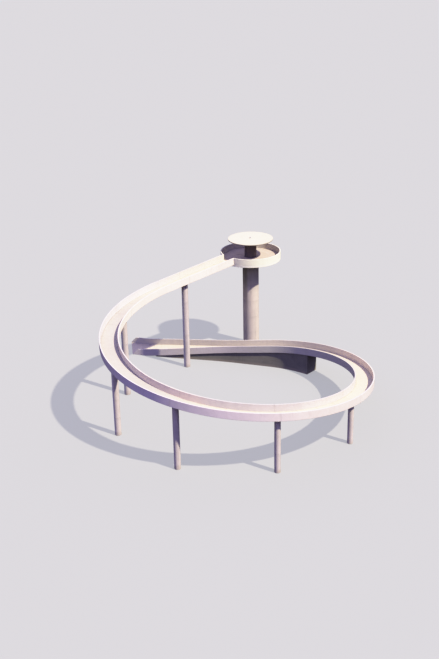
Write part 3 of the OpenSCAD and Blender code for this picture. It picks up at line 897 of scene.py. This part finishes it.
# canopy: a thin disc, its upper face falling a little to the rim
z1, z0 = CANOPY_TOP, CANOPY_TOP - CANOPY_T
prof = [(0.05, z1), (0.20, z1), (0.50, z1 - 0.0005), (0.80, z1 - 0.0015), (1.10, z1 - 0.003), (1.35, z1 - 0.005), (1.52, z1 - 0.007), (CANOPY_R - 0.026, z1 - 0.008)]
expo = [0.0] * 8
prof += quarter(CANOPY_R - 0.012, z1 - 0.020, 0.012, 90, 0, 5)
expo += [1.0] * 6
prof += [(CANOPY_R, z0 + 0.024)]
expo += [0.0]
prof += quarter(CANOPY_R - 0.008, z0 + 0.008, 0.008, 0, -90)
expo += [1.0] * 5
prof += [(CANOPY_R - 0.022, z0), (CANOPY_R - 0.040, z0), (CANOPY_R - 0.044, z0 + 0.010), (CANOPY_R - 0.058, z0 + 0.010), (CANOPY_R - 0.062, z0),
         (1.30, z0), (1.00, z0), (0.70, z0), (0.43, z0), (0.20, z0), (0.05, z0)]
expo += [0, 0.3, 0.3, 0.3, 0.3] + [0] * 6
turned("canopy_disc_cast", "canopy_disc", prof, np.array(expo), disc_mat)


# ---------------------------------------------------------------- platform parapet
def ring_half(name, node, sign):
    prof, exposed = wall_profile(0.0, WALL_H, drip=False)
    # ends: square to the walkway at the opening, and a joint opposite to it
    opening = WIDTH / 2 - WALL
    start = math.asin(opening / (PLAT_R - WALL / 2))
    angs = np.radians(np.arange(18.0, 179.0, 1.5))
    seams = [math.radians(d) for d in (54, 96, 138)]
    keep = [a for a in angs if all(abs(a - y) > 0.014 for y in seams)]
    for y in seams:
        keep += [y - 0.005, y - 0.002, y - 0.0005, y + 0.0005, y + 0.002, y + 0.005]
    rings = [("open", 0.006), ("open", 0.002), ("open", 0.0)] + [(a, 0.0) for a in sorted(keep)]
    end = math.pi
    rings += [(end - 0.0042, 0.0), (end - 0.0016, 0.002), (end - 0.0006, 0.005)]
    P, path, wear = [], [], []
    for a, by in rings:
        q = inset(prof, by) if by else prof
        u, h = q[:, 0].copy(), q[:, 1].copy()
        h = np.maximum(h, 0.0)
        face = (exposed == 0) & (h > 0.02) & (h < WALL_H - 0.01)
        st = 0.3 if a == "open" else a
        if not by:
            w = wave(st * 2.6, h * 1.1, 21 + sign) * 0.0010 + (0.0012 if any(abs(st - y) < 0.001 for y in seams) else 0)
            u = np.where(face & (prof[:, 0] < 0.01), u - w, np.where(face & (prof[:, 0] > 0.06), u + w * 0.8, u))
        r = PLAT_R - u
        if a == "open":
            back = {0.006: 0.0, 0.002: 0.0015, 0.0: 0.006}[by]
            th = np.arcsin((opening + back) / r)
        else:
            th = np.full(len(r), a)
        ang = A0 + sign * th
        P.append(np.stack([r * np.cos(ang), r * np.sin(ang), DECK + h], -1))
        path.append(np.stack([ang * PLAT_R, r, h], -1))
        wear.append(np.maximum(exposed, 0.8 if by else 0.0))
    away = np.tile((prof[:, 0] < WALL / 2) * 1.0, (len(P), 1))
    return grid(name, np.array(P), np.array(path), np.array(wear), ring_mat, [node], side=away)


ring_half("platform_parapet_east_cast", "platform_parapet_east", 1)
ring_half("platform_parapet_west_cast", "platform_parapet_west", -1)


# ---------------------------------------------------------------- vent
def vent():
    z = CANOPY_TOP
    prof = [(0.004, z + 0.0), (0.058, z + 0.0), (0.060, z + 0.002), (0.060, z + 0.009), (0.0575, z + 0.012), (0.040, z + 0.012),
            (0.036, z + 0.016), (0.035, z + 0.022), (0.035, z + 0.060), (0.033, z + 0.068), (0.058, z + 0.068), (0.0635, z + 0.066),
            (0.0650, z + 0.069), (0.0648, z + 0.073), (0.062, z + 0.077), (0.050, z + 0.083), (0.034, z + 0.090), (0.016, z + 0.0965), (0.004, z + 0.0985)]
    prof = np.array(prof)
    ang = np.arange(48) * 2 * math.pi / 48
    P = np.stack([np.outer(np.cos(ang), prof[:, 0]), np.outer(np.sin(ang), prof[:, 0]), np.tile(prof[:, 1], (48, 1))], -1)
    wear = np.tile(np.array([0, 0, 1, 1, .6, 0, 0, 0, 0, 0, .5, 1, 1, 1, .5, 0, 0, 0, 0.0]), (48, 1))
    return grid("canopy_vent_turned", P, P.copy(), wear, vent_mat, ["canopy_vent"], rows=1, around=True)


vent()


# ---------------------------------------------------------------- joint filling between bays
def joint_filling():
    """Mastic set back in the open joint across both parapets and the floor, at every support."""
    verts, faces, uvs = [], [], []
    wall, _ = wall_profile(-SLAB, WALL_H, drip=False)
    half = WIDTH / 2 - WALL
    slab = np.array([(-half + 0.004, -0.012), (half - 0.004, -0.012), (half - 0.004, -SLAB + 0.006), (-half + 0.004, -SLAB + 0.006)])
    for k in range(1, 10):
        s = SUPPORTS[k]
        outs = []
        q = inset(wall, 0.0075)
        outs.append(np.stack([-WIDTH / 2 + q[:, 0], q[:, 1]], -1))
        outs.append(np.stack([WIDTH / 2 - q[:, 0], q[:, 1]], -1)[::-1])
        outs.append(slab)
        for p in outs:
            n = len(p)
            at = len(verts)
            for d in (-GAP - 0.001, GAP + 0.001):
                sv = np.full(n, s + d)
                verts += place(sv, p[:, 0], floor_z(sv) + p[:, 1]).tolist()
            # outward: the profile is clockwise with off to the right, so forward faces look out
            for j in range(n):
                j2 = (j + 1) % n
                faces.append((at + j, at + n + j, at + n + j2, at + j2))
            faces.append(tuple(at + j for j in range(n)))
            faces.append(tuple(at + n + j for j in range(n))[::-1])
    me = bpy.data.meshes.new("joint_filling")
    me.from_pydata(verts, [], faces)
    me.materials.append(fill_mat)
    me.update()
    ob = bpy.data.objects.new("joint_filling", me)
    scene.collection.objects.link(ob)
    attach(ob, "root")
    return ob


joint_filling()

# ---------------------------------------------------------------- camera
YAW, PITCH, ROLL = (math.radians(v) for v in (-6.379, -22.124, -1.160))
forward = Vector((math.sin(YAW) * math.cos(PITCH), math.cos(YAW) * math.cos(PITCH), math.sin(PITCH)))
right = Vector((math.cos(YAW), -math.sin(YAW), 0.0))
upward = right.cross(forward)
right, upward = (right * math.cos(ROLL) + upward * math.sin(ROLL), upward * math.cos(ROLL) - right * math.sin(ROLL))
cam = bpy.data.cameras.new("camera")
cam.sensor_width = 36.0
cam.lens = 1034.79 * 36.0 / 659.0
cam.clip_start, cam.clip_end = 1.0, 8000.0
camera = bpy.data.objects.new("camera", cam)
camera.matrix_world = Matrix((
    (right.x, upward.x, -forward.x, 5.505),
    (right.y, upward.y, -forward.y, -70.105),
    (right.z, upward.z, -forward.z, 29.843),
    (0, 0, 0, 1)))
scene.collection.objects.link(camera)
scene.camera = camera

# ---------------------------------------------------------------- floor and light
ground = bpy.data.meshes.new("studio_floor")
far = 3000.0
ground.from_pydata([(-far, -far, -0.0015), (far, -far, -0.0015), (far, far, -0.0015), (-far, far, -0.0015)], [], [(0, 1, 2, 3)])
g = Nodes("studio_floor_paint")
paint = g.new("ShaderNodeBsdfDiffuse")
paint.inputs["Color"].default_value = (0.15, 0.15, 0.15, 1)
glow = g.new("ShaderNodeEmission")
glow.inputs["Color"].default_value = (0.98, 0.985, 1.0, 1)
glow.inputs["Strength"].default_value = 0.40
both = g.new("ShaderNodeAddShader")
g.t.links.new(paint.outputs[0], both.inputs[0])
g.t.links.new(glow.outputs[0], both.inputs[1])
out = g.new("ShaderNodeOutputMaterial")
g.t.links.new(both.outputs[0], out.inputs[0])
ground.materials.append(g.mat)
studio_floor = bpy.data.objects.new("studio_floor", ground)
scene.collection.objects.link(studio_floor)
studio_floor.visible_diffuse = False
studio_floor.visible_glossy = False

sun = bpy.data.lights.new("key", "SUN")
sun.energy = 6.8
sun.color = (1.0, 0.92, 0.745)
sun.angle = math.radians(1.4)
key = bpy.data.objects.new("key", sun)
key.rotation_mode = "QUATERNION"
key.rotation_quaternion = Vector((0.5547, -0.3039, 0.7746)).to_track_quat("Z", "Y")
scene.collection.objects.link(key)

world = bpy.data.worlds.new("studio")
scene.world = world
world.use_nodes = True
wt = world.node_tree
wt.nodes.clear()
coord = wt.nodes.new("ShaderNodeTexCoord")
parts = wt.nodes.new("ShaderNodeSeparateXYZ")
wt.links.new(coord.outputs["Generated"], parts.inputs[0])
tint = wt.nodes.new("ShaderNodeValToRGB")
half = wt.nodes.new("ShaderNodeMath")
half.operation = "MULTIPLY_ADD"
half.inputs[1].default_value = half.inputs[2].default_value = 0.5
wt.links.new(parts.outputs[2], half.inputs[0])
wt.links.new(half.outputs[0], tint.inputs[0])
bands = tint.color_ramp.elements
bands[0].position, bands[0].color = 0.0, (0.04, 0.032, 0.038, 1)
bands[1].position, bands[1].color = 1.0, (0.30, 0.29, 0.66, 1)
for where, colour in ((0.50, (0.045, 0.036, 0.045, 1)), (0.58, (0.10, 0.09, 0.14, 1)), (0.70, (0.46, 0.42, 0.96, 1)), (0.82, (0.56, 0.52, 1.18, 1))):
    bands.new(where).color = colour
# a little brighter over the near side
lean = wt.nodes.new("ShaderNodeMath")
lean.operation = "MULTIPLY_ADD"
lean.inputs[1].default_value, lean.inputs[2].default_value = -0.45, 1.02
wt.links.new(parts.outputs[1], lean.inputs[0])
least = wt.nodes.new("ShaderNodeMath")
least.operation = "MAXIMUM"
least.inputs[1].default_value = 1.0
wt.links.new(lean.outputs[0], least.inputs[0])
# and paler, less blue behind
behind = wt.nodes.new("ShaderNodeMapRange")
behind.interpolation_type = "SMOOTHSTEP"
behind.inputs[1].default_value, behind.inputs[2].default_value = 0.10, 0.70
wt.links.new(parts.outputs[1], behind.inputs[0])
pale = wt.nodes.new("ShaderNodeMix")
pale.data_type, pale.blend_type = "RGBA", "MULTIPLY"
pale.inputs[7].default_value = (1.75, 1.75, 1.10, 1)
wt.links.new(behind.outputs[0], pale.inputs[0])
wt.links.new(tint.outputs[0], pale.inputs[6])
fill = wt.nodes.new("ShaderNodeBackground")
wt.links.new(pale.outputs[2], fill.inputs[0])
wt.links.new(least.outputs[0], fill.inputs[1])
seen = wt.nodes.new("ShaderNodeBackground")
seen.inputs[0].default_value = (0.74, 0.74, 0.76, 1)
ray = wt.nodes.new("ShaderNodeLightPath")
pick = wt.nodes.new("ShaderNodeMixShader")
wt.links.new(ray.outputs["Is Camera Ray"], pick.inputs[0])
wt.links.new(fill.outputs[0], pick.inputs[1])
wt.links.new(seen.outputs[0], pick.inputs[2])
wout = wt.nodes.new("ShaderNodeOutputWorld")
wt.links.new(pick.outputs[0], wout.inputs[0])

# plain display colours, with a soft shoulder for sunlit concrete
scene.view_settings.view_transform = "Standard"
scene.view_settings.look = "None"
scene.view_settings.use_curve_mapping = True
curve = scene.view_settings.curve_mapping
curve.white_level = (1.7, 1.7, 1.7)
line = curve.curves[3]


def shoulder(x):
    return x if x < 0.75 else 0.75 + 0.25 * (1 - math.exp(-(x - 0.75) / 0.25))


marks = [0.0, 0.40, 0.75, 0.87, 1.0, 1.2, 1.45, 1.7]
line.points[0].location = (0.0, 0.0)
line.points[-1].location = (1.0, shoulder(1.7))
for x in marks[1:-1]:
    line.points.new(x / 1.7, shoulder(x))
curve.update()
